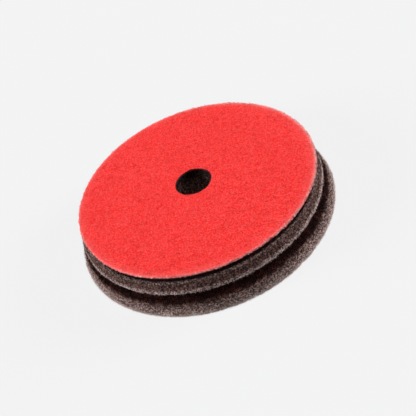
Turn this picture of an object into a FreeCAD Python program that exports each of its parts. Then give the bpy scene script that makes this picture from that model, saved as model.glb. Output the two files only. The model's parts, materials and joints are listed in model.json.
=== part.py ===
"""Foam polishing pad for a dual action polisher, as a parametric FreeCAD document.

The pad is a laminate. A thick open-cell foam disc works the paint with its lower face. A hot-melt film bonds
a knitted ground cloth to the foam's upper face, and the loop pile on that cloth grips the hooks of the machine's
backing plate. One hole runs through every layer. A V-shaped groove round the flank lets the foam's edge flex.

Frame: +Z up along the pad's axis, origin on that axis in the plane of the working face. Millimetres.
"""

import FreeCAD, Part

import os

import Sketcher

OUT_FOLDER = "parts"

doc = FreeCAD.newDocument("polishing_pad")

# ---------------------------------------------------------------------------------------------------------------
# Driving dimensions
# ---------------------------------------------------------------------------------------------------------------

SIZES = [
    # the foam block
    ("pad_diameter", 150.0, "foam at its working face, where it is widest"),
    ("foam_thickness", 23.4, "working face to the bonded face"),
    ("flank_setback", 6.5, "pad's widest radius to the flank's line at the bonded face"),
    ("hole_diameter", 21.0, "centre hole through every layer"),
    ("working_edge_round", 0.6, "fillet where the flank meets the working face"),
    # the V-shaped flex groove, whose mouth is measured at the pad's widest radius
    ("groove_floor_height", 7.8, "working face to the groove's lower leg at its mouth"),
    ("groove_mouth", 6.1, "height of the groove's mouth"),
    ("groove_depth", 13.0, "mouth to root, measured along the radius"),
    ("groove_root_width", 0.8, "flat width of the groove's root"),
    ("upper_lip_round", 0.7, "fillet on the edge above the groove"),
    ("lower_lip_round", 2.4, "fillet on the edge below the groove"),
    # the rebate that leaves the rim of the loop face free
    ("rebate_height", 3.5, "height of foam cut away under the loop face's rim"),
    ("rim_overhang", 2.2, "how far the loop face stands out past the foam under it"),
    # the laminate on top
    ("loop_face_setback", 6.0, "pad's widest radius to the rim of the loop face"),
    ("film_thickness", 0.15, "hot-melt bonding film"),
    ("cloth_thickness", 0.25, "knitted ground cloth"),
    ("pile_height", 0.7, "loop pile above the ground cloth"),
    ("pile_edge_round", 0.3, "fillet where the pile lies over at its outer rim"),
]

sheet = doc.addObject("Spreadsheet::Sheet", "sizes")
for row, (alias, value, note) in enumerate(SIZES, start=1):
    sheet.set(f"A{row}", alias)
    sheet.set(f"B{row}", str(value))
    sheet.setAlias(f"B{row}", alias)
    sheet.set(f"C{row}", note)
doc.recompute()

# Places that several pieces share, each worked out from the driving dimensions alone.
PAD_RADIUS = "sizes.pad_diameter / 2"
HOLE_RADIUS = "sizes.hole_diameter / 2"
SHOULDER_RADIUS = f"{PAD_RADIUS} - sizes.flank_setback"
LOOP_FACE_RADIUS = f"{PAD_RADIUS} - sizes.loop_face_setback"
GROOVE_ROOT_RADIUS = f"{PAD_RADIUS} - sizes.groove_depth"
GROOVE_MIDDLE = "sizes.groove_floor_height + sizes.groove_mouth / 2"
REBATE_FLOOR = "sizes.foam_thickness - sizes.rebate_height"
REBATE_RADIUS = f"{LOOP_FACE_RADIUS} - sizes.rim_overhang"
FILM_BASE = "sizes.foam_thickness"
CLOTH_BASE = f"{FILM_BASE} + sizes.film_thickness"
PILE_BASE = f"{CLOTH_BASE} + sizes.cloth_thickness"


def value_of(expression):
    """What an expression over the spreadsheet comes to, as a plain number."""
    return float(sheet.evalExpression(expression))


# ---------------------------------------------------------------------------------------------------------------
# Sketch helpers
# ---------------------------------------------------------------------------------------------------------------

ORIGIN = (-1, 1)
RADIUS_AXIS = -1
PAD_AXIS = -2
START, END, CENTRE = 1, 2, 3


def new_sketch(body, name, plane):
    """A sketch on one of the body's own origin planes."""
    sketch = body.newObject("Sketcher::SketchObject", name)
    support = next(item for item in body.Origin.OriginFeatures if item.Role == plane)
    sketch.AttachmentSupport = [(support, "")]
    sketch.MapMode = "FlatFace"
    return sketch


def set_distance(sketch, direction, point, expression):
    """Ties a point's radius (DistanceX) or height (DistanceY) to the spreadsheet."""
    index = sketch.addConstraint(
        Sketcher.Constraint(direction, *ORIGIN, *point, value_of(expression))
    )
    sketch.setExpression(f"Constraints[{index}]", expression)


def place_point(sketch, point, radius, height):
    """Fixes a sketch point by its radius and height; None stands for zero, which is on an axis."""
    for direction, axis, expression in (
        ("DistanceX", PAD_AXIS, radius),
        ("DistanceY", RADIUS_AXIS, height),
    ):
        if expression is None:
            sketch.addConstraint(Sketcher.Constraint("PointOnObject", *point, axis))
        else:
            set_distance(sketch, direction, point, expression)


def outline_point(radius, height):
    """Where a corner given by two expressions lies in the sketch."""
    x = 0 if radius is None else value_of(radius)
    y = 0 if height is None else value_of(height)
    return FreeCAD.Vector(x, y, 0)


def polygon(sketch, corners):
    """A closed outline of straight lines through corners, each a pair of expressions (radius, height)."""
    points = [outline_point(*corner) for corner in corners]
    count = len(points)
    for i in range(count):
        sketch.addGeometry(Part.LineSegment(points[i], points[(i + 1) % count]))
    for i in range(count):
        sketch.addConstraint(Sketcher.Constraint("Coincident", i, END, (i + 1) % count, START))
    for i, corner in enumerate(corners):
        place_point(sketch, (i, START), *corner)


def rings(feature):
    """Every edge that runs right round the pad's axis: its name, radius and height."""
    return [
        (f"Edge{number}", edge.Curve.Radius, edge.Curve.Center.z)
        for number, edge in enumerate(feature.Shape.Edges, start=1)
        if isinstance(edge.Curve, Part.Circle)
    ]


def ring_edges(feature, radius, height):
    """Names of the edges that run round a feature at that radius and height."""
    near = 0.01
    return [name for name, r, z in rings(feature) if abs(r - radius) < near and abs(z - height) < near]


def widest_ring(feature, low, high):
    """Radius and height of the widest edge round a feature between the heights low and high."""
    return max((r, z) for name, r, z in rings(feature) if low < z < high)


# ---------------------------------------------------------------------------------------------------------------
# Feature helpers
# ---------------------------------------------------------------------------------------------------------------


def turned(body, kind, name, sketch):
    """A Revolution or a Groove of a sketch, one full turn about the pad's axis."""
    feature = body.newObject(kind, name)
    feature.Profile = sketch
    feature.ReferenceAxis = (sketch, ["V_Axis"])
    feature.Angle = 360
    doc.recompute()
    return feature


def check_cut(before, after):
    """Stops the build if a cutting feature removed nothing."""
    if after.Shape.Volume >= before.Shape.Volume:
        raise RuntimeError(f"{after.Label} cut nothing")


def rounded(body, name, base, ring, radius_alias):
    """A fillet on the ring-shaped edge at (radius, height)."""
    edges = ring_edges(base, *ring)
    if not edges:
        raise RuntimeError(f"{name} found no edge to round at {ring}")
    fillet = body.newObject("PartDesign::Fillet", name)
    fillet.Base = (base, edges)
    fillet.setExpression("Radius", f"sizes.{radius_alias}")
    doc.recompute()
    return fillet


def punched(body, name, base):
    """The centre hole, punched through everything the body has."""
    sketch = new_sketch(body, f"{name}_outline", "XY_Plane")
    circle = sketch.addGeometry(
        Part.Circle(FreeCAD.Vector(0, 0, 0), FreeCAD.Vector(0, 0, 1), value_of(HOLE_RADIUS))
    )
    sketch.addConstraint(Sketcher.Constraint("Coincident", circle, CENTRE, *ORIGIN))
    size = sketch.addConstraint(Sketcher.Constraint("Radius", circle, value_of(HOLE_RADIUS)))
    sketch.setExpression(f"Constraints[{size}]", HOLE_RADIUS)
    pocket = body.newObject("PartDesign::Pocket", name)
    pocket.Profile = sketch
    pocket.Type = "ThroughAll"
    pocket.Reversed = True
    doc.recompute()
    check_cut(base, pocket)
    return pocket


# ---------------------------------------------------------------------------------------------------------------
# Foam block
# ---------------------------------------------------------------------------------------------------------------


def foam_block(body):
    """The block before it is grooved: flat faces, and a flank that leans in evenly towards the bonded face."""
    sketch = new_sketch(body, "block_outline", "XZ_Plane")
    polygon(
        sketch,
        [
            (None, None),
            (PAD_RADIUS, None),
            (SHOULDER_RADIUS, "sizes.foam_thickness"),
            (None, "sizes.foam_thickness"),
        ],
    )
    return turned(body, "PartDesign::Revolution", "block", sketch)


def flex_groove(body, block):
    """The V cut into the flank all the way round, with a narrow flat root."""
    sketch = new_sketch(body, "flex_groove_outline", "XZ_Plane")
    half_root = "sizes.groove_root_width / 2"
    polygon(
        sketch,
        [
            (PAD_RADIUS, "sizes.groove_floor_height"),
            (PAD_RADIUS, "sizes.groove_floor_height + sizes.groove_mouth"),
            (GROOVE_ROOT_RADIUS, f"{GROOVE_MIDDLE} + {half_root}"),
            (GROOVE_ROOT_RADIUS, f"{GROOVE_MIDDLE} - {half_root}"),
        ],
    )
    groove = turned(body, "PartDesign::Groove", "flex_groove", sketch)
    check_cut(block, groove)
    return groove


def rim_rebate(body, block):
    """The step cut under the loop face, so that its rim stands free of the foam."""
    sketch = new_sketch(body, "rim_rebate_outline", "XZ_Plane")
    polygon(
        sketch,
        [
            (REBATE_RADIUS, REBATE_FLOOR),
            (PAD_RADIUS, REBATE_FLOOR),
            (PAD_RADIUS, "sizes.foam_thickness"),
            (REBATE_RADIUS, "sizes.foam_thickness"),
        ],
    )
    rebate = turned(body, "PartDesign::Groove", "rim_rebate", sketch)
    check_cut(block, rebate)
    return rebate


def build_foam():
    """The foam disc with its flex groove, rim rebate, centre hole and softened edges."""
    body = doc.addObject("PartDesign::Body", "foam_pad")
    block = foam_block(body)
    grooved = flex_groove(body, block)
    rebated = rim_rebate(body, grooved)
    holed = punched(body, "centre_hole", rebated)

    groove_middle = value_of(GROOVE_MIDDLE)
    lower_lip = widest_ring(holed, 0, groove_middle)
    upper_lip = widest_ring(holed, groove_middle, value_of(REBATE_FLOOR))
    working_edge = (value_of(PAD_RADIUS), 0)
    foam = rounded(body, "lower_lip_round", holed, lower_lip, "lower_lip_round")
    foam = rounded(body, "upper_lip_round", foam, upper_lip, "upper_lip_round")
    rounded(body, "working_edge_round", foam, working_edge, "working_edge_round")
    return body


# ---------------------------------------------------------------------------------------------------------------
# Laminate on the foam's upper face
# ---------------------------------------------------------------------------------------------------------------


def build_layer(name, base_height, thickness_alias):
    """One flat layer of the laminate, the size of the loop face, lying at base_height."""
    body = doc.addObject("PartDesign::Body", name)
    sketch = new_sketch(body, f"{name}_outline", "XZ_Plane")
    top_height = f"{base_height} + sizes.{thickness_alias}"
    polygon(
        sketch,
        [
            (None, base_height),
            (LOOP_FACE_RADIUS, base_height),
            (LOOP_FACE_RADIUS, top_height),
            (None, top_height),
        ],
    )
    disc = turned(body, "PartDesign::Revolution", f"{name}_disc", sketch)
    return body, punched(body, f"{name}_hole", disc)


def build_pile():
    """The loop pile, whose outer rim lies over where the laminate was cut."""
    body, disc = build_layer("loop_pile", PILE_BASE, "pile_height")
    rim = (value_of(LOOP_FACE_RADIUS), value_of(f"{PILE_BASE} + sizes.pile_height"))
    rounded(body, "pile_edge_round", disc, rim, "pile_edge_round")
    return body


# ---------------------------------------------------------------------------------------------------------------
# Build, check and write
# ---------------------------------------------------------------------------------------------------------------

pieces = [
    build_foam(),
    build_layer("bonding_film", FILM_BASE, "film_thickness")[0],
    build_layer("ground_cloth", CLOTH_BASE, "cloth_thickness")[0],
    build_pile(),
]
doc.recompute()

for item in doc.Objects:
    if {"Invalid", "Error"} & set(item.State):
        raise RuntimeError(f"{item.Label} failed: {item.State}")
for piece in pieces:
    if piece.Shape.isNull() or not piece.Shape.isValid():
        raise RuntimeError(f"{piece.Label} has no valid shape")
    if len(piece.Shape.Solids) != 1:
        raise RuntimeError(f"{piece.Label} is {len(piece.Shape.Solids)} solids, and should be one")

os.makedirs(OUT_FOLDER, exist_ok=True)
for piece in pieces:
    piece.Shape.exportStep(f"{OUT_FOLDER}/{piece.Label}.step")
    box = piece.Shape.optimalBoundingBox()
    print(
        f"{piece.Label}: {box.XLength:.1f} x {box.YLength:.1f} x {box.ZLength:.2f} mm, "
        f"{piece.Shape.Volume / 1000:.1f} cm3, from z {box.ZMin:.2f} to {box.ZMax:.2f}"
    )
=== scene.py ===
# %% [markdown]
# # A foam polishing pad
#
# The pad is a round block of dark open-cell foam, 150 mm across. Its upper face carries a red loop
# cloth that grips the hooks of a polisher's backing plate. A hole runs through the middle, and a
# V-shaped groove runs round the flank, so that the foam's edge can bend. Nothing on it is printed
# and nothing moves.
#
# Foam and napped cloth have no smooth surface anywhere. So the two main pieces are grown from cells
# and tufts, and their materials only add what is finer than that.

import json
import math

import bpy
import numpy as np
from mathutils import Matrix, Vector


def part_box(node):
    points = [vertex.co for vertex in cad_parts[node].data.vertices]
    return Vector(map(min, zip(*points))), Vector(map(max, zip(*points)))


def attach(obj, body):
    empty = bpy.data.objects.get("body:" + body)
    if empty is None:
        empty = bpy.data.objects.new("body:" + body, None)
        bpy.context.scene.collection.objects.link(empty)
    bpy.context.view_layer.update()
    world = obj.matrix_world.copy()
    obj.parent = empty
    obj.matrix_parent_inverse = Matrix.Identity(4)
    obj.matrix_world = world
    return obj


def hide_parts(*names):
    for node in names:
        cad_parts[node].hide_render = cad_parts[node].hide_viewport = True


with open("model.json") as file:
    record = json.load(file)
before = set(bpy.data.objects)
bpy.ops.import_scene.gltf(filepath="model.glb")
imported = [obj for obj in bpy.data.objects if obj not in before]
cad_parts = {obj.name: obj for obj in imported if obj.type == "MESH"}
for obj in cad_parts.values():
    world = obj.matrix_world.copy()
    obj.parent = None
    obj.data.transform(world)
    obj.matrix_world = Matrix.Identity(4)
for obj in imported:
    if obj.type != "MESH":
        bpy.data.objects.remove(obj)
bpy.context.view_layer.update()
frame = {"record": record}

# %% [markdown]
# ## Sizes
#
# The outer sizes come from the construction model, and the hole's from its mount. The flank's few
# other sizes are the construction's own: how far it leans in, where the groove opens and how deep
# it runs, and the rebate under the loop face's rim. The groove's two lips are where its legs cut
# the leaning flank.

# %% Sizes of the pad
MM = 0.001
TURN = 2 * math.pi

foam_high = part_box("foam_pad")[1]
cloth_low, cloth_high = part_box("ground_cloth")
pile_low, pile_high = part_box("loop_pile")
hole = next(m for m in frame["record"]["mounts"] if m["name"] == "centre_hole")

foam_top = foam_high.z
loop_radius = pile_high.x
pad_top = pile_high.z
hole_radius = hole["dims"]["r_mm"] * MM

LOOP_FACE_SETBACK = 6.0 * MM
FLANK_SETBACK = 6.5 * MM
GROOVE_FLOOR = 7.8 * MM
GROOVE_MOUTH = 6.1 * MM
GROOVE_DEPTH = 13.0 * MM
GROOVE_ROOT_WIDTH = 0.8 * MM
REBATE_HEIGHT = 3.5 * MM
RIM_OVERHANG = 2.2 * MM

pad_radius = loop_radius + LOOP_FACE_SETBACK
flank_lean = FLANK_SETBACK / foam_top
root_radius = pad_radius - GROOVE_DEPTH
root_height = GROOVE_FLOOR + GROOVE_MOUTH / 2
neck_radius = loop_radius - RIM_OVERHANG
rebate_floor = foam_top - REBATE_HEIGHT


def flank_at(height):
    """The flank's radius at a height."""
    return pad_radius - flank_lean * height


def lip(mouth_height, leg_root_height):
    """Where a leg of the groove meets the flank: its radius and height."""
    rise = (mouth_height - leg_root_height) / GROOVE_DEPTH
    height = mouth_height / (1 + rise * flank_lean)
    return flank_at(height), height


lower_lip = lip(GROOVE_FLOOR, root_height - GROOVE_ROOT_WIDTH / 2)
upper_lip = lip(GROOVE_FLOOR + GROOVE_MOUTH, root_height + GROOVE_ROOT_WIDTH / 2)
print(f"pad {2 * pad_radius / MM:.1f} mm across and {pad_top / MM:.1f} mm thick")
print(f"hole {2 * hole_radius / MM:.1f} mm across, groove's root {root_radius / MM:.1f} mm from the axis")
print("lips at", [round(x / MM, 2) for x in lower_lip + upper_lip])

# %% [markdown]
# ## Building node trees
#
# Both geometry and materials are made with nodes. These helpers add a node, fill its inputs by
# name, and run a finished tree on a piece. A tree's result is turned into a plain mesh, so that the
# piece carries no modifier.

# %% Node helpers
def fill(tree, socket, value):
    """Links a socket from another, or sets it to a value."""
    if isinstance(value, bpy.types.NodeSocket):
        tree.links.new(value, socket)
    else:
        socket.default_value = value


def set_inputs(tree, node, **inputs):
    """Fills a node's inputs by name. In a keyword, _ stands for a space."""
    for name, value in inputs.items():
        wanted = name.replace("_", " ")
        fill(tree, next(s for s in node.inputs if s.enabled and s.name == wanted), value)


def add(tree, kind, settings=None, **inputs):
    """Adds a node of this kind, with its settings and then its inputs."""
    node = tree.nodes.new(kind)
    for name, value in (settings or {}).items():
        setattr(node, name, value)
    set_inputs(tree, node, **inputs)
    return node


def out(node, name=None):
    """The output of a node that has this name, or the first one in use."""
    return next(s for s in node.outputs if s.enabled and name in (None, s.name))


def maths(tree, operation, *values):
    """A Math node on sockets or numbers, giving its output."""
    node = tree.nodes.new("ShaderNodeMath")
    node.operation = operation
    for socket, value in zip(node.inputs, values):
        fill(tree, socket, value)
    return node.outputs[0]


def between(tree, value, start, end, low, high):
    """Low until a value reaches start, high once it reaches end, and a smooth change between."""
    node = add(
        tree, "ShaderNodeMapRange", {"interpolation_type": "SMOOTHSTEP"},
        Value=value, From_Min=start, From_Max=end, To_Min=low, To_Max=high,
    )
    return out(node)


def blended(tree, share, low, high):
    """A colour that goes from low to high, each a colour or a socket, as share goes from 0 to 1."""
    node = tree.nodes.new("ShaderNodeMix")
    node.data_type = "RGBA"
    for socket, value in zip([s for s in node.inputs if s.enabled], (share, low, high)):
        fill(tree, socket, value)
    return out(node)


def scattered(tree, seed, low, high):
    """A number for each point, face or instance, at random between low and high."""
    return out(add(tree, "FunctionNodeRandomValue", Min=low, Max=high, Seed=seed))


# %% Geometry trees
def geometry_tree(name, sizes):
    """An empty tree that takes a mesh and named sizes, and gives back a mesh."""
    tree = bpy.data.node_groups.new(name, "GeometryNodeTree")
    tree.interface.new_socket("Mesh", in_out="INPUT", socket_type="NodeSocketGeometry")
    for label, value in sizes.items():
        kind = "NodeSocketInt" if isinstance(value, int) else "NodeSocketFloat"
        tree.interface.new_socket(label, in_out="INPUT", socket_type=kind)
    tree.interface.new_socket("Mesh", in_out="OUTPUT", socket_type="NodeSocketGeometry")
    given = {s.name: s for s in tree.nodes.new("NodeGroupInput").outputs if s.name}
    return tree, given


def mark(tree, name):
    """A value that a skin carries at each of its points."""
    node = add(tree, "GeometryNodeInputNamedAttribute", {"data_type": "FLOAT"}, Name=name)
    return out(node, "Attribute")


def lumps(tree, size, **inputs):
    """Noise from 0 to 1 whose lumps are of this size."""
    return out(add(tree, "ShaderNodeTexNoise", Scale=maths(tree, "DIVIDE", 1.0, size), **inputs))


def finish_tree(tree, mesh, material):
    """Ends a tree: instances become mesh, and every face gets the material."""
    real = add(tree, "GeometryNodeRealizeInstances", Geometry=mesh)
    painted = add(tree, "GeometryNodeSetMaterial", Geometry=out(real), Material=material)
    end = tree.nodes.new("NodeGroupOutput")
    tree.links.new(out(painted), end.inputs[0])


def run_tree(piece, tree, sizes):
    """Runs a tree on a piece and keeps the result as its plain mesh."""
    modifier = piece.modifiers.new(tree.name, "NODES")
    modifier.node_group = tree
    for item in tree.interface.items_tree:
        if item.in_out == "INPUT" and item.name in sizes:
            modifier[item.identifier] = sizes[item.name]
    depsgraph = bpy.context.evaluated_depsgraph_get()
    result = bpy.data.meshes.new_from_object(
        piece.evaluated_get(depsgraph), preserve_all_data_layers=True, depsgraph=depsgraph
    )
    piece.modifiers.remove(modifier)
    piece.data = result


def triangles_of(piece):
    """How many triangles a piece's mesh comes to."""
    sides = np.empty(len(piece.data.polygons), np.int32)
    piece.data.polygons.foreach_get("loop_total", sides)
    return int((sides - 2).sum())


print("node helpers ready")

# %% [markdown]
# ## Camera and light
#
# The camera looks down at the pad from in front, and is tilted to one side. The light is that of a
# plain studio: an even white surround, a wide lamp from each side, and a weak one from above. The
# floor and everything behind it are the same very pale grey, and the pad's soft shadow stays on the
# floor.

# %% Camera
VIEW_ELEVATION = math.radians(41.51)
VIEW_ROLL = math.radians(-22.55)
VIEW_DISTANCE = 408.9 * MM
LEFT_OF_MIDDLE = 8.33 * MM
ABOVE_MIDDLE = 14.98 * MM
LENS = 63.14
SENSOR_WIDTH = 36
NEAREST, FARTHEST = 0.01, 100

camera = bpy.data.objects.new("camera", bpy.data.cameras.new("camera"))
bpy.context.scene.collection.objects.link(camera)
bpy.context.scene.camera = camera
camera.data.sensor_width = SENSOR_WIDTH
camera.data.lens = LENS
camera.data.clip_start = NEAREST
camera.data.clip_end = FARTHEST
turned = Matrix.Rotation(math.radians(90) - VIEW_ELEVATION, 4, "X") @ Matrix.Rotation(VIEW_ROLL, 4, "Z")
loop_face_seen_at = Vector((-LEFT_OF_MIDDLE, ABOVE_MIDDLE, -VIEW_DISTANCE))
place = Vector((0, 0, pad_top)) - turned.to_3x3() @ loop_face_seen_at
camera.matrix_world = Matrix.Translation(place) @ turned
print("camera at", [round(x, 4) for x in place])

# %% Floor
PALE = (0.892, 0.892, 0.892, 1)
DIM = (0.2, 0.2, 0.2, 1)
FLOOR_HALF = 20
SHADOW_SHARE = 0.06


def pale_floor():
    """A wide floor, dim to all but the camera, so that little light comes back from it onto the flank.

    The camera sees it part lit and part plain pale, so that its shadow is faint.
    """
    mesh = bpy.data.meshes.new("floor")
    corners = [(x * FLOOR_HALF, y * FLOOR_HALF, 0) for x, y in ((-1, -1), (1, -1), (1, 1), (-1, 1))]
    mesh.from_pydata(corners, [], [(0, 1, 2, 3)])
    floor = bpy.data.objects.new("floor", mesh)
    bpy.context.scene.collection.objects.link(floor)
    material = bpy.data.materials.new("pale_floor")
    material.use_nodes = True
    tree = material.node_tree
    tree.nodes.clear()
    rays = add(tree, "ShaderNodeLightPath")
    lit = add(tree, "ShaderNodeBsdfDiffuse", Color=blended(tree, out(rays, "Is Camera Ray"), DIM, PALE))
    plain = add(tree, "ShaderNodeEmission", Color=PALE, Strength=1.0)
    share = maths(tree, "MULTIPLY", out(rays, "Is Camera Ray"), 1 - SHADOW_SHARE)
    mix = tree.nodes.new("ShaderNodeMixShader")
    tree.links.new(share, mix.inputs[0])
    tree.links.new(out(lit), mix.inputs[1])
    tree.links.new(out(plain), mix.inputs[2])
    end = tree.nodes.new("ShaderNodeOutputMaterial")
    tree.links.new(out(mix), end.inputs["Surface"])
    mesh.materials.append(material)


pale_floor()
print(f"floor {2 * FLOOR_HALF} m across")

# %% Surround and lamps
SURROUND = 0.10
TOP_LAMP = 0.4
TOP_LAMP_HEIGHT = 88
SIDE_LAMP = 4.5
SIDE_LAMP_HEIGHT = 18
SIDE_LAMP_ROUND = 94
SIDE_TINT = (0.96, 1.0, 1.05)
LAMP_SPREAD = math.radians(30)


def pale_surround():
    """A world that lights evenly, and shows the camera the floor's own pale grey."""
    world = bpy.data.worlds.new("surround")
    bpy.context.scene.world = world
    world.use_nodes = True
    tree = world.node_tree
    tree.nodes.clear()
    light = add(tree, "ShaderNodeBackground", Color=(1, 1, 1, 1), Strength=SURROUND)
    seen = add(tree, "ShaderNodeBackground", Color=PALE, Strength=1.0)
    rays = add(tree, "ShaderNodeLightPath")
    mirrored = maths(tree, "MAXIMUM", out(rays, "Is Glossy Ray"), out(rays, "Is Transmission Ray"))
    share = maths(tree, "MAXIMUM", out(rays, "Is Camera Ray"), mirrored)
    mix = tree.nodes.new("ShaderNodeMixShader")
    tree.links.new(share, mix.inputs[0])
    tree.links.new(out(light), mix.inputs[1])
    tree.links.new(out(seen), mix.inputs[2])
    end = tree.nodes.new("ShaderNodeOutputWorld")
    tree.links.new(out(mix), end.inputs["Surface"])


def soft_lamp(name, round_from_front, elevation, strength, tint=(1, 1, 1)):
    """A lamp too wide to cast a sharp shadow, that many degrees round from the front and that high."""
    lamp = bpy.data.objects.new(name, bpy.data.lights.new(name, "SUN"))
    bpy.context.scene.collection.objects.link(lamp)
    lamp.data.energy = strength
    lamp.data.color = tint
    lamp.data.angle = LAMP_SPREAD
    lamp.rotation_euler = (math.radians(90 - elevation), 0, math.radians(round_from_front))


pale_surround()
soft_lamp("top_lamp", 0, TOP_LAMP_HEIGHT, TOP_LAMP)
soft_lamp("left_lamp", -SIDE_LAMP_ROUND, SIDE_LAMP_HEIGHT, SIDE_LAMP, SIDE_TINT)
soft_lamp("right_lamp", SIDE_LAMP_ROUND, SIDE_LAMP_HEIGHT, SIDE_LAMP, SIDE_TINT)
bpy.context.scene.view_settings.view_transform = "Standard"
print("surround and three lamps ready")

# %% [markdown]
# ## A skin to grow cells on
#
# Every piece of the pad is a shape turned about one axis. A skin is made of rows of points round
# that axis, one row after another along the shape's outline. Each row has as many points as its
# length needs, so the points lie about evenly apart everywhere, and each is moved a little at
# random, because neither foam nor knit is regular. Neighbouring rows are joined by triangles. The
# last row joins the first, so the skin is closed.

# %% Turned skins
ROW_SHARE = 0.866
CORNER_STEPS = 6
SCATTER = 0.38
LEAST_IN_A_ROW = 12


def rounded_outline(corners, fine=0.1 * MM):
    """A closed outline, in close points with a pitch each, through (radius, height, rounding, pitch)."""
    places = [np.array(corner[:2]) for corner in corners]
    bends = []
    for i, corner in enumerate(corners):
        before = places[i - 1] - places[i]
        after = places[(i + 1) % len(places)] - places[i]
        before /= np.linalg.norm(before)
        after /= np.linalg.norm(after)
        half_turn = (math.pi - math.acos(np.clip(before @ after, -1, 1))) / 2
        reach = corner[2] * math.tan(half_turn)
        start, end = places[i] + before * reach, places[i] + after * reach
        for t in np.linspace(0, 1, CORNER_STEPS):
            bends.append((1 - t) ** 2 * start + 2 * t * (1 - t) * places[i] + t**2 * end)
    points, pitches = [], []
    for i, point in enumerate(bends):
        following = bends[(i + 1) % len(bends)]
        count = max(1, math.ceil(np.linalg.norm(following - point) / fine))
        share = np.arange(count)[:, None] / count
        points.append(point + (following - point) * share)
        pitches.append(np.full(count, corners[i // CORNER_STEPS][3]))
    return np.concatenate(points), np.concatenate(pitches)


def between_rows(first_a, a, first_b, b):
    """Triangles between two rows, each given by its first vertex and its rising angles."""
    middle_a = (a + np.append(a[1:], a[0] + TURN)) / 2
    middle_b = (b + np.append(b[1:], b[0] + TURN)) / 2
    i, j = np.arange(len(a)), np.arange(len(b))
    facing_b = np.searchsorted(middle_b, middle_a) % len(b)
    facing_a = np.searchsorted(middle_a, middle_b, side="right") % len(a)
    from_a = np.stack((first_a + i, first_a + (i + 1) % len(a), first_b + facing_b), axis=1)
    from_b = np.stack((first_b + (j + 1) % len(b), first_b + j, first_a + facing_a), axis=1)
    return np.concatenate((from_a, from_b))


def turned_skin(name, corners, seed, marks=None, stretch=None):
    """A closed skin turned about the pad's axis.

    Its attribute pitch says how far apart its points are. Each of marks, a function of radius, height
    and angle, becomes an attribute of that name. Stretch, a function of angle, says how much wider the
    skin is there, as a share of its radius.
    """
    outline, pitches = rounded_outline(corners)
    closed = np.vstack((outline, outline[:1]))
    steps = np.linalg.norm(np.diff(closed, axis=0), axis=1)
    passed = np.concatenate(([0], np.cumsum(steps / (ROW_SHARE * pitches))))
    row_count = round(passed[-1])
    passed *= row_count / passed[-1]
    rng = np.random.default_rng(seed)
    vertices, spacing, rows = [], [], []
    for row in range(row_count):
        radius = np.interp(row, passed, closed[:, 0])
        pitch = pitches[min(np.searchsorted(passed, row), len(pitches) - 1)]
        count = max(LEAST_IN_A_ROW, round(TURN * radius / pitch))
        slots = np.arange(count) + rng.uniform() + rng.uniform(-SCATTER, SCATTER, count)
        angles = slots * TURN / count
        along = (row + rng.uniform(-SCATTER, SCATTER, count)) % row_count
        r, z = np.interp(along, passed, closed[:, 0]), np.interp(along, passed, closed[:, 1])
        rows.append((sum(len(v) for v in vertices), angles))
        vertices.append(np.stack((r * np.cos(angles), r * np.sin(angles), z), axis=1))
        spacing.append(np.full(count, pitch))
    faces = np.concatenate([between_rows(*rows[i - 1], *rows[i]) for i in range(row_count)])
    x, y, z = np.concatenate(vertices).T
    radius, angle = np.hypot(x, y), np.arctan2(y, x)
    values = {"pitch": np.concatenate(spacing)}
    for label, at_place in (marks or {}).items():
        values[label] = at_place(radius, z, angle)
    wider = 1 + stretch(angle) if stretch else 1
    mesh = bpy.data.meshes.new(name)
    mesh.from_pydata(np.stack((x * wider, y * wider, z), axis=1).tolist(), [], faces.tolist())
    for label, value in values.items():
        mesh.attributes.new(label, "FLOAT", "POINT").data.foreach_set("value", value)
    mesh.validate()
    piece = bpy.data.objects.new(name, mesh)
    bpy.context.scene.collection.objects.link(piece)
    print(f"{name}: {row_count} rows, {len(mesh.vertices)} points")
    return piece


print("turned skins ready")

# %% [markdown]
# ## The foam's finish
#
# Open-cell foam is a net of struts round pores. The struts are a warm dark grey, and each pore is
# darker towards its bottom, where little light reaches. The cells carry two values of their own:
# depth, from 0 on a strut to 1 at the bottom of a pore, and tone, which differs from cell to cell.
# Foam looks paler at a thin edge, where light comes through it: this is painted light, at the lip,
# along the working edge and at the top of the flank. It is darker down in the groove and under the
# cloth in the hole, which is painted shade, and painted light makes it lighter far down the hole.
# All follow from how far a place is from the flank, the lip and the hole.

# %% Foam material
STRUT = (0.135, 0.075, 0.064, 1)
LIT_STRUT = (0.60, 0.44, 0.40, 1)
PORE = (0.014, 0.006, 0.0045, 1)
LIT_PORE = (0.27, 0.18, 0.16, 1)
PALEST = (1.0, 0.85, 0.79)
TONES = (0.25, 3.0)
TONE_POWER = 2.5
PATCHES = (0.8, 1.2)
PATCH_SIZE = 6 * MM
SPECKLES = (0.1, 2.7)
SPECKLE_SIZE = 0.3 * MM
MIDDLE_OF_NOISE = (0.35, 0.65)

# Painted shade where the foam is sheltered, by its depth from the flank, its depth below the upper lip and
# its height, and painted shade and light down the hole.
PAINTED_GROOVE_SHADE = (0.14, 0.058, 0.046, 1)
UNSHADED = (1, 1, 1, 1)
PAINTED_SHADE_DEPTHS = (0.6 * MM, 2.2 * MM)
PAINTED_SHADE_HEIGHTS = (0.6 * MM, 1.8 * MM)
LOWER_LIP_SHADOW = 2.0 * MM
UPPER_LIP_SHADOW = (0.6 * MM, 0.2 * MM)
PAINTED_HOLE_LIGHTS = (3.0, 0.12)
HOLE_DEPTHS = (14 * MM, 1.5 * MM)
HOLE_SURROUND = (2 * MM, 5 * MM)
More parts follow.
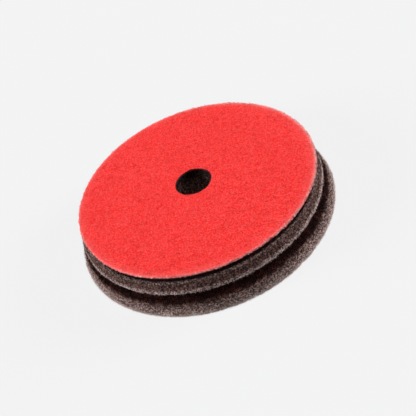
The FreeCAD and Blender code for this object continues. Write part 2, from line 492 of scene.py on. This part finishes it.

# Painted light where it is pale, by the same measures: a painted highlight at the lip and the flank's top
# edge, painted light along the working edge.
FLANK_DEPTHS = (1.0 * MM, 2.5 * MM)
LIP_HIGHLIGHT = 1.0
LIP_HIGHLIGHT_WIDTH = 3.6 * MM
LIP_LINE_DEPTH = 0.3 * MM
LIP_LINE_HALF = 0.1 * MM
TOP_EDGE_HIGHLIGHT = 0.2
TOP_EDGE_DEPTHS = (1.0 * MM, 0.2 * MM)
BOTTOM_LIGHT = 0.56
BOTTOM_LIGHT_HEIGHTS = (0.2 * MM, 8.0 * MM)
WORKING_EDGE_LIGHT_HEIGHTS = (0.2 * MM, 3.0 * MM)
EDGE_LIGHT = 3.0
EDGE_LIGHT_HEIGHTS = (0.3 * MM, 2.0 * MM)


def new_material(name):
    """A material with a Principled shader, its tree, and the place on the object."""
    material = bpy.data.materials.new(name)
    material.use_nodes = True
    tree = material.node_tree
    tree.nodes.clear()
    shader = add(tree, "ShaderNodeBsdfPrincipled")
    end = tree.nodes.new("ShaderNodeOutputMaterial")
    tree.links.new(out(shader, "BSDF"), end.inputs["Surface"])
    at = out(add(tree, "ShaderNodeTexCoord"), "Object")
    return material, tree, shader, at


def scaled(tree, colour, share):
    """A colour made lighter or darker by a number."""
    node = add(tree, "ShaderNodeVectorMath", {"operation": "SCALE"}, Vector=colour, Scale=share)
    return out(node)


def tinted(tree, colour, tint):
    """A colour multiplied by another."""
    node = add(tree, "ShaderNodeVectorMath", {"operation": "MULTIPLY"}, Vector=colour)
    fill(tree, node.inputs[1], tint)
    return out(node)


def at_most(tree, colour, palest):
    """A colour kept from being paler than this one."""
    node = add(tree, "ShaderNodeVectorMath", {"operation": "MINIMUM"}, Vector=colour)
    fill(tree, node.inputs[1], palest)
    return out(node)


def own(tree, name):
    """A value that the piece's mesh carries."""
    return out(add(tree, "ShaderNodeAttribute", {"attribute_name": name}), "Fac")


def grain(tree, at, size, detail=2.0):
    """Noise from 0 to 1 whose lumps are about this size."""
    return out(add(tree, "ShaderNodeTexNoise", Vector=at, Scale=1 / size, Detail=detail, Roughness=0.6))


def ranged(tree, value, low, high):
    """A value from 0 to 1 taken to between low and high."""
    return out(add(tree, "ShaderNodeMapRange", Value=value, To_Min=low, To_Max=high))


def radius_and_height(tree, at):
    """How far a place is from the pad's axis, and how high it is."""
    place = add(tree, "ShaderNodeSeparateXYZ", Vector=at)
    x, y, z = (out(place, axis) for axis in "XYZ")
    squares = maths(tree, "ADD", maths(tree, "MULTIPLY", x, x), maths(tree, "MULTIPLY", y, y))
    return maths(tree, "SQRT", squares), z


def below(level, depths):
    """The heights these far below a level."""
    return [level - depth for depth in depths]


def painted_shade_and_hole_light(tree, radius, height, inward):
    """A tint of painted shade and light: painted shade in the groove and under the cloth in the hole,
    painted light far down the hole.
    """
    # Painted shade down in the groove and in its mouth.
    sunk = between(tree, inward, *PAINTED_SHADE_DEPTHS, 0.0, 1.0)
    past_lower_lip = between(tree, height, lower_lip[1] - LOWER_LIP_SHADOW, lower_lip[1], 0.0, 1.0)
    under_upper_lip = between(tree, height, *below(upper_lip[1], UPPER_LIP_SHADOW), 1.0, 0.0)
    in_mouth = maths(tree, "MULTIPLY", past_lower_lip, under_upper_lip)
    above_face = between(tree, height, *PAINTED_SHADE_HEIGHTS, 0.0, 1.0)
    painted_shade_share = maths(tree, "MULTIPLY", maths(tree, "MAXIMUM", sunk, in_mouth), above_face)
    groove_shade = blended(tree, painted_shade_share, UNSHADED, PAINTED_GROOVE_SHADE)
    # Painted light far down the hole, painted shade under the cloth at its top.
    in_hole = between(tree, height, *below(foam_top, HOLE_DEPTHS), *PAINTED_HOLE_LIGHTS)
    surround = [hole_radius + distance for distance in HOLE_SURROUND]
    by_hole = between(tree, radius, *surround, 1.0, 0.0)
    return blended(tree, by_hole, groove_shade, in_hole)


def painted_edge_light(tree, height, on_flank):
    """How much painted light makes the foam pale, from 0 to 1: most at the lip and the working edge, and
    only on the flank.
    """
    from_lip_line = maths(tree, "SUBTRACT", height, upper_lip[1] - LIP_LINE_DEPTH)
    from_lip_line = maths(tree, "ABSOLUTE", from_lip_line)
    pale = between(tree, from_lip_line, LIP_LINE_HALF, LIP_HIGHLIGHT_WIDTH, LIP_HIGHLIGHT, 0.0)
    others = [
        between(tree, height, *WORKING_EDGE_LIGHT_HEIGHTS, 1.0, 0.0),
        between(tree, height, *BOTTOM_LIGHT_HEIGHTS, BOTTOM_LIGHT, 0.0),
        between(tree, height, *below(rebate_floor, TOP_EDGE_DEPTHS), 0.0, TOP_EDGE_HIGHLIGHT),
    ]
    for other in others:
        pale = maths(tree, "MAXIMUM", pale, other)
    return maths(tree, "MULTIPLY", pale, on_flank)


def foam_material():
    """Struts and pores, each cell in its own tone, with painted shade and painted light that follow from
    the place.
    """
    material, tree, shader, at = new_material("open_cell_foam")
    radius, height = radius_and_height(tree, at)
    flank = maths(tree, "SUBTRACT", pad_radius, maths(tree, "MULTIPLY", height, flank_lean))
    inward = maths(tree, "SUBTRACT", flank, radius)
    on_flank = between(tree, inward, *FLANK_DEPTHS, 1.0, 0.0)
    # Painted light: struts and pores go pale at the lip and at the flank's edges.
    pale = painted_edge_light(tree, height, on_flank)
    strut = blended(tree, pale, STRUT, LIT_STRUT)
    pore = blended(tree, pale, PORE, LIT_PORE)
    colour = blended(tree, own(tree, "depth"), strut, pore)

    tone = ranged(tree, maths(tree, "POWER", own(tree, "tone"), TONE_POWER), *TONES)
    patches = ranged(tree, grain(tree, at, PATCH_SIZE), *PATCHES)
    speckle = between(tree, grain(tree, at, SPECKLE_SIZE), *MIDDLE_OF_NOISE, *SPECKLES)
    # Painted light along the working edge, up to three times brighter.
    at_edge = between(tree, height, *EDGE_LIGHT_HEIGHTS, 1.0, 0.0)
    edge_light = ranged(tree, maths(tree, "MULTIPLY", at_edge, on_flank), 1.0, EDGE_LIGHT)
    for share in (tone, patches, speckle, edge_light):
        colour = scaled(tree, colour, share)
    # The painted shade and light of the groove and the hole tint the colour, which is kept from going too
    # pale.
    colour = at_most(tree, tinted(tree, colour, painted_shade_and_hole_light(tree, radius, height, inward)), PALEST)

    bump = add(tree, "ShaderNodeBump", Strength=0.5, Distance=0.1 * MM, Height=grain(tree, at, 0.25 * MM))
    set_inputs(tree, shader, Base_Color=colour, Roughness=0.8, Normal=out(bump), Specular_IOR_Level=0.05)
    return material


foam_finish = foam_material()
print("foam finish ready")

# %% [markdown]
# ## The foam block
#
# The block's skin is an even net of triangles. Its dual, where each point becomes a face, is an
# uneven net of five-, six- and seven-sided cells, which is just what cut foam looks like. Each cell
# is then drawn in at its edge, which leaves a strut all round, and sunk into a pore. The upper face
# is glued and never seen, so it has a few large plain cells.

# %% Foam cells
FLANK_CELL = 0.6 * MM
GROOVE_CELL = 1.3 * MM
FACE_CELL = 2.0 * MM
HOLE_CELL = 0.75 * MM
HIDDEN_CELL = 5 * MM
HIDDEN_FROM = 0.9 * HIDDEN_CELL
STRUT_SHARE = 0.17
PORE_DEPTH = 0.45 * MM
PORE_DEPTHS = (-1.0, -0.45)
PORE_FLOOR = 0.6
RUGGED = 0.12 * MM
TEAR_SIZE = 0.8 * MM
TEAR_DEPTH = 0.6 * MM
EDGE_SPREAD = 0.3 * MM


def cell_tree(sizes, material):
    """Cells from a skin: its dual, with a strut round each face and a pore in it unless it is hidden."""
    tree, given = geometry_tree("foam_cells", sizes)
    dual = out(add(tree, "GeometryNodeDualMesh", Mesh=given["Mesh"]))
    normal = out(add(tree, "GeometryNodeInputNormal"), "Normal")
    porous = maths(tree, "LESS_THAN", mark(tree, "pitch"), given["Hidden Cell"])
    seeds = [maths(tree, "ADD", given["Seed"], step) for step in (0, 1, 2)]
    tears = lumps(tree, given["Tear Size"], Detail=0.0)
    torn = maths(tree, "MULTIPLY", maths(tree, "SUBTRACT", tears, 0.5), given["Tear Depth"])
    rugged = maths(tree, "MULTIPLY", scattered(tree, seeds[0], -1.0, 1.0), given["Rugged"])
    rugged = maths(tree, "ADD", rugged, torn)
    offset = out(add(tree, "ShaderNodeVectorMath", {"operation": "SCALE"}, Vector=normal, Scale=rugged))
    uneven = out(add(tree, "GeometryNodeSetPosition", Geometry=dual, Offset=offset))
    toned = out(add(
        tree, "GeometryNodeStoreNamedAttribute", {"data_type": "FLOAT", "domain": "FACE"},
        Geometry=uneven, Name="tone", Value=scattered(tree, seeds[1], 0.0, 1.0),
    ))
    level = out(add(
        tree, "GeometryNodeStoreNamedAttribute", {"data_type": "FLOAT", "domain": "POINT"},
        Geometry=toned, Name="depth", Value=0.0,
    ))
    rim = add(
        tree, "GeometryNodeExtrudeMesh", {"mode": "FACES"},
        Mesh=level, Selection=porous, Offset_Scale=0.0, Individual=True,
    )
    opening = maths(tree, "SUBTRACT", 1.0, given["Strut Share"])
    drawn_in = out(add(
        tree, "GeometryNodeScaleElements", {"domain": "FACE"},
        Geometry=out(rim, "Mesh"), Selection=out(rim, "Top"), Scale=opening,
    ))
    sunk = maths(tree, "MULTIPLY", scattered(tree, seeds[2], *PORE_DEPTHS), given["Pore Depth"])
    pit = add(
        tree, "GeometryNodeExtrudeMesh", {"mode": "FACES"},
        Mesh=drawn_in, Selection=out(rim, "Top"), Offset_Scale=sunk, Individual=True,
    )
    narrowed = out(add(
        tree, "GeometryNodeScaleElements", {"domain": "FACE"},
        Geometry=out(pit, "Mesh"), Selection=out(pit, "Top"), Scale=PORE_FLOOR,
    ))
    deep = out(add(
        tree, "GeometryNodeStoreNamedAttribute", {"data_type": "FLOAT", "domain": "POINT"},
        Geometry=narrowed, Selection=out(pit, "Top"), Name="depth", Value=1.0,
    ))
    finish_tree(tree, deep, material)
    return tree


foam_corners = [
    (hole_radius, 0, 0.4 * MM, FACE_CELL),
    (pad_radius + EDGE_SPREAD, 0, 0.7 * MM, FLANK_CELL),
    (*lower_lip, 2.4 * MM, GROOVE_CELL),
    (root_radius, root_height - GROOVE_ROOT_WIDTH / 2, 0.2 * MM, GROOVE_CELL),
    (root_radius, root_height + GROOVE_ROOT_WIDTH / 2, 0.2 * MM, GROOVE_CELL),
    (*upper_lip, 0.7 * MM, FLANK_CELL),
    (flank_at(rebate_floor), rebate_floor, 0.3 * MM, FLANK_CELL),
    (neck_radius, rebate_floor, 0.2 * MM, GROOVE_CELL),
    (neck_radius, foam_top, 0.1 * MM, HIDDEN_CELL),
    (hole_radius, foam_top, 0.1 * MM, HOLE_CELL),
]
cell_sizes = {
    "Strut Share": STRUT_SHARE, "Pore Depth": PORE_DEPTH, "Rugged": RUGGED,
    "Tear Size": TEAR_SIZE, "Tear Depth": TEAR_DEPTH,
    "Hidden Cell": HIDDEN_FROM, "Seed": 4,
}
foam = turned_skin("open_cell_foam_block", foam_corners, seed=1)
run_tree(foam, cell_tree(cell_sizes, foam_finish), cell_sizes)
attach(foam, "root")
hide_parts("foam_pad")
print(f"foam block: {triangles_of(foam)} triangles")

# %% [markdown]
# ## Loose struts and open loops
#
# A knife leaves broken cells standing out of every cut face of the foam, most of all along its
# edges, which is why foam has no sharp outline. Some are single struts, and some are rings of
# struts that were once the mouth of a cell. Cut and brushed knit is much the same: single ends of
# yarn, and loops. So two small trees make all of it. Both scatter points over a skin, as thickly as
# its attribute loose says, and put a thin shape of a few faces at each point: one a fibre that
# stands on the surface and leans at random, the other a ring turned at random.

# %% Trees for fibres and rings
FIBRE_SIDES = 3
FIBRE_TIP = 0.5
FIBRE_LENGTHS = (0.4, 1.0)
RING_SIDES = 5
RING_SIZES = (0.6, 1.2)
CLUMP_EDGES = (0.4, 0.6)
IN_CLUMPS = 2.0
TO_THE_SQUARE_MM = 1e6


def scattered_points(tree, given):
    """Points on a skin, as many to the square millimetre as its attribute loose says."""
    clumps = lumps(tree, given["Clump Size"], Detail=0.0)
    share = between(tree, clumps, *CLUMP_EDGES, 0.0, IN_CLUMPS)
    density = maths(tree, "MULTIPLY", mark(tree, "loose"), share)
    density = maths(tree, "MULTIPLY", density, TO_THE_SQUARE_MM)
    return add(
        tree, "GeometryNodeDistributePointsOnFaces", {"distribute_method": "RANDOM"},
        Mesh=given["Mesh"], Density=density, Seed=given["Seed"],
    )


def placed(tree, given, points, shape, turn, size, material):
    """Puts a shape at each point, with a tone of its own and nothing below the lowest height."""
    instances = out(add(
        tree, "GeometryNodeInstanceOnPoints", Points=points, Instance=shape, Rotation=turn, Scale=size,
    ))
    tone = scattered(tree, maths(tree, "ADD", given["Seed"], 4), 0.0, 1.0)
    toned = out(add(
        tree, "GeometryNodeStoreNamedAttribute", {"data_type": "FLOAT", "domain": "INSTANCE"},
        Geometry=instances, Name="tone", Value=tone,
    ))
    real = out(add(tree, "GeometryNodeRealizeInstances", Geometry=toned))
    place = add(tree, "ShaderNodeSeparateXYZ", Vector=out(add(tree, "GeometryNodeInputPosition")))
    above = maths(tree, "MAXIMUM", out(place, "Z"), given["Lowest"])
    position = out(add(tree, "ShaderNodeCombineXYZ", X=out(place, "X"), Y=out(place, "Y"), Z=above))
    settled = out(add(tree, "GeometryNodeSetPosition", Geometry=real, Position=position))
    finish_tree(tree, settled, material)
    return tree


def fibre_tree(name, sizes, material):
    """Tapered fibres that stand on a skin, tilted and spun at random."""
    tree, given = geometry_tree(name, sizes)
    points = scattered_points(tree, given)
    seeds = [maths(tree, "ADD", given["Seed"], step) for step in (1, 2, 3)]
    lean = scattered(tree, seeds[0], given["Least Tilt"], given["Most Tilt"])
    stance = add(tree, "ShaderNodeCombineXYZ", X=lean, Z=scattered(tree, seeds[1], 0.0, TURN))
    stood = add(
        tree, "FunctionNodeRotateRotation", {"rotation_space": "LOCAL"},
        Rotation=out(points, "Rotation"), Rotate_By=out(stance),
    )
    fibre = add(
        tree, "GeometryNodeMeshCone",
        Vertices=FIBRE_SIDES, Radius_Bottom=given["Thickness"],
        Radius_Top=maths(tree, "MULTIPLY", given["Thickness"], FIBRE_TIP), Depth=given["Length"],
    )
    length = scattered(tree, seeds[2], *FIBRE_LENGTHS)
    size = add(tree, "ShaderNodeCombineXYZ", X=1.0, Y=1.0, Z=length)
    return placed(tree, given, out(points, "Points"), out(fibre, "Mesh"), out(stood), out(size), material)


def ring_tree(name, sizes, material):
    """Small rings, turned at random, whose middles lie up to a rise above a skin."""
    tree, given = geometry_tree(name, sizes)
    points = scattered_points(tree, given)
    seeds = [maths(tree, "ADD", given["Seed"], step) for step in (1, 2, 3)]
    rise = scattered(tree, seeds[0], 0.0, given["Rise"])
    normal = out(points, "Normal")
    lift = out(add(tree, "ShaderNodeVectorMath", {"operation": "SCALE"}, Vector=normal, Scale=rise))
    lifted = out(add(tree, "GeometryNodeSetPosition", Geometry=out(points, "Points"), Offset=lift))
    ring = add(tree, "GeometryNodeCurvePrimitiveCircle", Resolution=RING_SIDES, Radius=given["Radius"])
    thread = add(
        tree, "GeometryNodeCurvePrimitiveCircle", Resolution=FIBRE_SIDES, Radius=given["Thickness"],
    )
    shape = out(add(
        tree, "GeometryNodeCurveToMesh", Curve=out(ring, "Curve"), Profile_Curve=out(thread, "Curve"),
    ))
    turn = out(add(
        tree, "FunctionNodeRandomValue", {"data_type": "FLOAT_VECTOR"},
        Min=(0, 0, 0), Max=(TURN, TURN, TURN), Seed=seeds[1],
    ))
    size = scattered(tree, seeds[2], *RING_SIZES)
    return placed(tree, given, lifted, shape, turn, size, material)


def loose_piece(name, corners, loose, make_tree, sizes, material, stretch=None):
    """A piece made only of loose shapes scattered over a turned skin."""
    piece = turned_skin(name, corners, sizes["Seed"], {"loose": loose}, stretch)
    run_tree(piece, make_tree(name, sizes, material), sizes)
    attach(piece, "root")
    print(f"{name}: {triangles_of(piece)} triangles")


print("fibre and ring trees ready")

# %% Loose struts and open cells on the foam
FLANK_BAND = 1.2 * MM
LIP_BAND = 0.5 * MM
EDGE_BAND = 1.2 * MM


def on_foam(on_flank, on_lip, on_edge):
    """How many there are to the square millimetre on the flank, at its lip and along its working edge."""
    def count(radius, height, angle):
        outside = radius > flank_at(height) - FLANK_BAND
        loose = np.where(outside, on_flank, 0.0)
        loose[outside & (abs(height - upper_lip[1]) < LIP_BAND)] = on_lip
        loose[outside & (height < EDGE_BAND)] = on_edge
        return loose
    return count


strut_sizes = {
    "Length": 1.2 * MM, "Thickness": 0.06 * MM, "Least Tilt": 0.2, "Most Tilt": 1.3,
    "Clump Size": 0.8 * MM, "Lowest": 0.02 * MM, "Seed": 11,
}
loose_piece(
    "loose_foam_struts", foam_corners, on_foam(on_flank=0.45, on_lip=1.7, on_edge=16.5),
    fibre_tree, strut_sizes, foam_finish,
)
open_cell_sizes = {
    "Radius": 0.36 * MM, "Thickness": 0.05 * MM, "Rise": 0.5 * MM,
    "Clump Size": 0.8 * MM, "Lowest": 0.02 * MM, "Seed": 12,
}
loose_piece(
    "open_foam_cells", foam_corners, on_foam(on_flank=0.11, on_lip=0.55, on_edge=4.7),
    ring_tree, open_cell_sizes, foam_finish,
)

# %% [markdown]
# ## The loop face
#
# The loop cloth is brushed, so its face is a low nap of tangled red loops with no visible rows. The
# nap is a skin that noise raises and sinks, and single loops stand out of it.

# %% Loop cloth materials
RED = (0.915, 0.0165, 0.0155, 1)
PALE_RED = (1.0, 0.30, 0.27, 1)
PAST_RIM = 0.4 * MM
RIM_PALE = 0.45
RIM_PALE_WIDTH = 2.0 * MM
WORN_PALE = 0.1
WORN_WIDTH = 7.0 * MM
TIP_PALE = 0.5
TIP_WIDTH = 0.3 * MM
TUFT_GLINT = 0.30
TUFT_GLINT_SIZE = 0.65 * MM
TUFT_GLINT_NOISE = (0.35, 0.7)
FINE_TONES = (0.92, 1.05)
FINE_SIZE = 0.8 * MM
BROAD_TONES = (0.93, 1.07)
BROAD_SIZE = 3 * MM
HOLE_WALL_SHADE = 0.06
HOLE_WALL_REACH = (0.3 * MM, 0.6 * MM)
HOLE_WALL_DEPTHS = (0.25 * MM, 0.05 * MM)


def loop_material(name, tones):
    """Bright red yarn, each loop in its own tone, with painted glints on tufts, paler at the cut rim and
    painted shade down the hole's wall.
    """
    material, tree, shader, at = new_material(name)
    radius, height = radius_and_height(tree, at)
    rim = between(tree, radius, loop_radius - RIM_PALE_WIDTH, loop_radius + PAST_RIM, 0.0, RIM_PALE)
    worn = between(tree, radius, loop_radius - WORN_WIDTH, loop_radius, 0.0, WORN_PALE)
    tips = between(tree, radius, loop_radius - TIP_WIDTH, loop_radius + PAST_RIM, 0.0, TIP_PALE)
    # Pale specks on random tufts: painted glints of light off the yarn.
    tufts = between(tree, grain(tree, at, TUFT_GLINT_SIZE), *TUFT_GLINT_NOISE, 0.0, TUFT_GLINT)
    pale = maths(tree, "ADD", maths(tree, "ADD", tufts, tips), maths(tree, "ADD", rim, worn))
    colour = blended(tree, pale, RED, PALE_RED)

    fine = between(tree, grain(tree, at, FINE_SIZE), *MIDDLE_OF_NOISE, *FINE_TONES)
    broad = ranged(tree, grain(tree, at, BROAD_SIZE), *BROAD_TONES)
    tone = ranged(tree, own(tree, "tone"), *tones)
    # Painted shade down the hole's wall.
    reach = [hole_radius + distance for distance in HOLE_WALL_REACH]
    by_hole = between(tree, radius, *reach, 1.0, 0.0)
    under_top = between(tree, height, *below(pad_top, HOLE_WALL_DEPTHS), 1.0, 0.0)
    wall_shade = ranged(tree, maths(tree, "MULTIPLY", by_hole, under_top), 1.0, HOLE_WALL_SHADE)
    for share in (fine, broad, tone, wall_shade):
        colour = scaled(tree, colour, share)

    bump = add(tree, "ShaderNodeBump", Strength=0.6, Distance=0.2 * MM, Height=grain(tree, at, 0.35 * MM))
    set_inputs(tree, shader, Base_Color=colour, Roughness=0.9, Normal=out(bump), Specular_IOR_Level=0.1)
    return material


pile_finish = loop_material("napped_loops", (1.0, 1.0))
brushed_finish = loop_material("brushed_loops", (0.8, 1.15))

# %% Loop pile
NAP = 0.55 * MM
RIM_NAP = 0.42 * MM
HIDDEN_NAP = 4 * MM
RIM_DRAW_IN = 0.15 * MM
WIDER_SIDE = math.radians(35)
WIDER_BY = 0.9 * MM
HOLE_RAGGED = 0.25
SIDE_MARGIN = 0.12 * MM
TOP_MARGIN = 0.1 * MM


def nap_tree(sizes, material):
    """A low uneven nap: noise raises and sinks the skin along its normals and roughens its cut sides."""
    tree, given = geometry_tree("nap", sizes)
    at = out(add(tree, "GeometryNodeInputPosition"))
    normal = out(add(tree, "GeometryNodeInputNormal"), "Normal")
    tufts = lumps(tree, given["Tuft Size"], Vector=at)
    rise = maths(tree, "MULTIPLY", maths(tree, "SUBTRACT", tufts, 0.5), given["Nap Height"])
    offset = out(add(tree, "ShaderNodeVectorMath", {"operation": "SCALE"}, Vector=normal, Scale=rise))
    raised = out(add(tree, "GeometryNodeSetPosition", Geometry=given["Mesh"], Offset=offset))

    cut_side = mark(tree, "cut_side")
    teeth = lumps(tree, given["Tooth Size"], Vector=at, Detail=0.0)
    tooth = maths(tree, "MULTIPLY", maths(tree, "SUBTRACT", teeth, 0.5), cut_side)
    place = add(tree, "ShaderNodeSeparateXYZ", Vector=at)
    outward = out(add(tree, "ShaderNodeCombineXYZ", X=out(place, "X"), Y=out(place, "Y")))
    radius = radius_and_height(tree, at)[0]
    share = maths(tree, "DIVIDE", maths(tree, "MULTIPLY", tooth, given["Tooth Height"]), radius)
    cut = out(add(tree, "ShaderNodeVectorMath", {"operation": "SCALE"}, Vector=outward, Scale=share))
    is_cut = maths(tree, "GREATER_THAN", cut_side, HOLE_RAGGED / 2)
    ragged = out(add(tree, "GeometryNodeSetPosition", Geometry=raised, Selection=is_cut, Offset=cut))
    finish_tree(tree, ragged, material)
    return tree


def wider_side(angle):
    """How much wider the pile is at an angle, as a share of its radius."""
    return WIDER_BY / rim_radius * (1 + np.cos(angle - WIDER_SIDE)) ** 2 / 4


def on_cut_side(radius, height, angle):
    """How ragged the pile's cut sides are: 1 at the rim, less in the hole, 0 elsewhere."""
    in_hole = np.where(radius < hole_radius + SIDE_MARGIN, HOLE_RAGGED, 0.0)
    return np.where(radius > rim_radius - SIDE_MARGIN, 1.0, in_hole)


rim_radius = loop_radius - RIM_DRAW_IN
pile_corners = [
    (hole_radius, pile_low.z, 0, HIDDEN_NAP),
    (rim_radius, pile_low.z, 0, RIM_NAP),
    (rim_radius, pad_top, 0.2 * MM, RIM_NAP),
    (rim_radius - 1.0 * MM, pad_top, 0, NAP),
    (hole_radius, pad_top, 0.2 * MM, NAP),
]
nap_sizes = {
    "Tuft Size": 1.0 * MM, "Nap Height": 0.35 * MM, "Tooth Size": 1.1 * MM, "Tooth Height": 2.4 * MM,
}
pile = turned_skin("napped_loop_face", pile_corners, 2, {"cut_side": on_cut_side}, wider_side)
run_tree(pile, nap_tree(nap_sizes, pile_finish), nap_sizes)
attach(pile, "root")
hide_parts("loop_pile")
print(f"loop pile: {triangles_of(pile)} triangles")

# %% Brushed loops
def on_face(count):
    """So many to the square millimetre, on the upper face only."""
    return lambda radius, height, angle: np.where(height > pad_top - TOP_MARGIN, count, 0.0)


end_sizes = {
    "Length": 0.9 * MM, "Thickness": 0.07 * MM, "Least Tilt": 1.05, "Most Tilt": 1.5,
    "Clump Size": 1.2 * MM, "Lowest": 0.0, "Seed": 21,
}
loose_piece(
    "brushed_yarn_ends", pile_corners, on_face(count=1.0),
    fibre_tree, end_sizes, brushed_finish, wider_side,
)
loop_sizes = {
    "Radius": 0.36 * MM, "Thickness": 0.07 * MM, "Rise": 0.05 * MM,
    "Clump Size": 1.2 * MM, "Lowest": 0.0, "Seed": 22,
}
loose_piece(
    "brushed_loops", pile_corners, on_face(count=0.38),
    ring_tree, loop_sizes, brushed_finish, wider_side,
)

# %% [markdown]
# ## The cut rim
#
# Where the disc was cut out of the cloth, the loops and the ground cloth's threads are severed.
# Their ends stand out in a thin uneven fringe, paler than the face because the dye didn't reach
# inside the yarn.

# %% Frayed rim
FRAY_PALE = (0.92, 0.62, 0.59, 1)
FRAY_DEEP = (0.75, 0.12, 0.11, 1)
MOST_WORN_SIDE = math.radians(-15)
FACE_FRAY_WIDTH = 0.8 * MM
RIM_FRAY_DEPTH = 0.5 * MM
RIM_MARGIN = 0.1 * MM


def fray_material():
    """Yarn dyed unevenly, from pale to deep pink, each end in its own tone."""
    material, tree, shader, at = new_material("frayed_yarn")
    colour = blended(tree, own(tree, "tone"), FRAY_DEEP, FRAY_PALE)
    colour = scaled(tree, colour, ranged(tree, grain(tree, at, 0.4 * MM), 0.8, 1.2))
    set_inputs(tree, shader, Base_Color=colour, Roughness=0.9, Specular_IOR_Level=0.1)
    return material


def most_worn(angle):
    """How much the rim is frayed, from 0 where it least is to 1 in the middle of its most worn side."""
    return (1 + np.cos(angle - MOST_WORN_SIDE)) ** 2 / 4


def by_rim(least, most):
    """How many there are to the square millimetre, on the upper face close to its rim."""
    def at_place(radius, height, angle):
        count = least + (most - least) * most_worn(angle)
        close = (radius > rim_radius - FACE_FRAY_WIDTH) & (height > pad_top - TOP_MARGIN)
        return np.where(close, count, 0.0)
    return at_place


def on_rim(least, most):
    """How many there are to the square millimetre, on the upper part of the pile's cut rim."""
    def at_place(radius, height, angle):
        count = least + (most - least) * most_worn(angle)
        upper = (height > pad_top - RIM_FRAY_DEPTH) & (radius > rim_radius - RIM_MARGIN)
        return np.where(upper, count, 0.0)
    return at_place


fray_finish = fray_material()
cut_end_sizes = {
    "Length": 0.9 * MM, "Thickness": 0.2 * MM, "Least Tilt": 0.0, "Most Tilt": 0.9,
    "Clump Size": 0.9 * MM, "Lowest": 0.0, "Seed": 31,
}
loose_piece(
    "cut_yarn_ends", pile_corners, on_rim(least=0.3, most=5.0),
    fibre_tree, cut_end_sizes, fray_finish, wider_side,
)
standing_end_sizes = {
    "Length": 0.8 * MM, "Thickness": 0.12 * MM, "Least Tilt": 0.2, "Most Tilt": 1.1,
    "Clump Size": 0.9 * MM, "Lowest": 0.0, "Seed": 33,
}
loose_piece(
    "standing_yarn_ends", pile_corners, by_rim(least=0.6, most=4.0),
    fibre_tree, standing_end_sizes, fray_finish, wider_side,
)
cut_loop_sizes = {
    "Radius": 0.4 * MM, "Thickness": 0.15 * MM, "Rise": 0.3 * MM,
    "Clump Size": 0.9 * MM, "Lowest": 0.0, "Seed": 32,
}
loose_piece(
    "cut_loops", pile_corners, on_rim(least=0.3, most=2.5),
    ring_tree, cut_loop_sizes, fray_finish, wider_side,
)

# %% [markdown]
# ## Ground cloth and film
#
# The ground cloth is a thin flat knit, laid on the film and cut with it, and only its rim is ever
# seen. It is a closed ring-shaped mesh whose outer rim is ragged. The film under it has the right
# shape already and only needs a dark, slightly uneven finish.

# %% Ground cloth
RIM_POINTS = 1440
RAGGED = 0.25 * MM
WALES = 320.0
CLOTH_SHADE_IN_HOLE = 0.1
CLOTH_SHADE_REACH = (0.5 * MM, 2 * MM)


def cut_cloth(name, low, high, seed):
    """A flat closed ring of cloth from the height low to high, with a ragged outer rim."""
    rng = np.random.default_rng(seed)
    angles = np.arange(RIM_POINTS) * TURN / RIM_POINTS
    ragged = rim_radius - RAGGED + rng.uniform(-RAGGED, RAGGED, RIM_POINTS)
    plain = np.full(RIM_POINTS, hole_radius)
    rings = [(plain, low), (ragged, low), (ragged, high), (plain, high)]
    points = []
    for radius, height in rings:
        x, y = radius * np.cos(angles), radius * np.sin(angles)
        points.append(np.stack((x, y, np.full(RIM_POINTS, height)), axis=1))
    faces = []
    for ring in range(4):
        here, beyond = ring * RIM_POINTS, (ring + 1) % 4 * RIM_POINTS
        for i in range(RIM_POINTS):
            j = (i + 1) % RIM_POINTS
            faces.append((here + i, here + j, beyond + j, beyond + i))
    mesh = bpy.data.meshes.new(name)
    mesh.from_pydata(np.concatenate(points).tolist(), [], [face[::-1] for face in faces])
    piece = bpy.data.objects.new(name, mesh)
    bpy.context.scene.collection.objects.link(piece)
    return piece


def cloth_material():
    """Pink knit with fine wales, with painted shade by the hole."""
    material, tree, shader, at = new_material("knitted_cloth")
    wales = add(tree, "ShaderNodeTexWave", Vector=at, Scale=WALES, Distortion=0.6, Detail=1.0)
    colour = blended(tree, out(wales, "Fac"), FRAY_DEEP, FRAY_PALE)
    radius = radius_and_height(tree, at)[0]
    # Painted shade on the cloth by the hole.
    reach = [hole_radius + distance for distance in CLOTH_SHADE_REACH]
    by_hole = between(tree, radius, *reach, CLOTH_SHADE_IN_HOLE, 1.0)
    for share in (ranged(tree, grain(tree, at, 0.5 * MM), 0.8, 1.2), by_hole):
        colour = scaled(tree, colour, share)
    set_inputs(tree, shader, Base_Color=colour, Roughness=0.9, Specular_IOR_Level=0.1)
    return material


cloth = cut_cloth("knitted_ground_cloth", cloth_low.z, cloth_high.z, seed=5)
cloth.data.materials.append(cloth_material())
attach(cloth, "root")
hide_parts("ground_cloth")

# %% Bonding film
FILM = (0.022, 0.017, 0.017)


def film_material():
    """Dark set adhesive, slightly uneven."""
    material, tree, shader, at = new_material("hot_melt_film")
    colour = scaled(tree, FILM, ranged(tree, grain(tree, at, 1.5 * MM), 0.7, 1.3))
    bump = add(tree, "ShaderNodeBump", Strength=0.3, Distance=0.05 * MM, Height=grain(tree, at, 0.6 * MM))
    set_inputs(tree, shader, Base_Color=colour, Roughness=0.55, Normal=out(bump))
    return material


film = bpy.data.objects["bonding_film"]
film_finish = film_material()
if not film.material_slots:
    film.data.materials.append(film_finish)
for slot in film.material_slots:
    slot.material = film_finish
print("bonding film:", [slot.material.name for slot in film.material_slots])
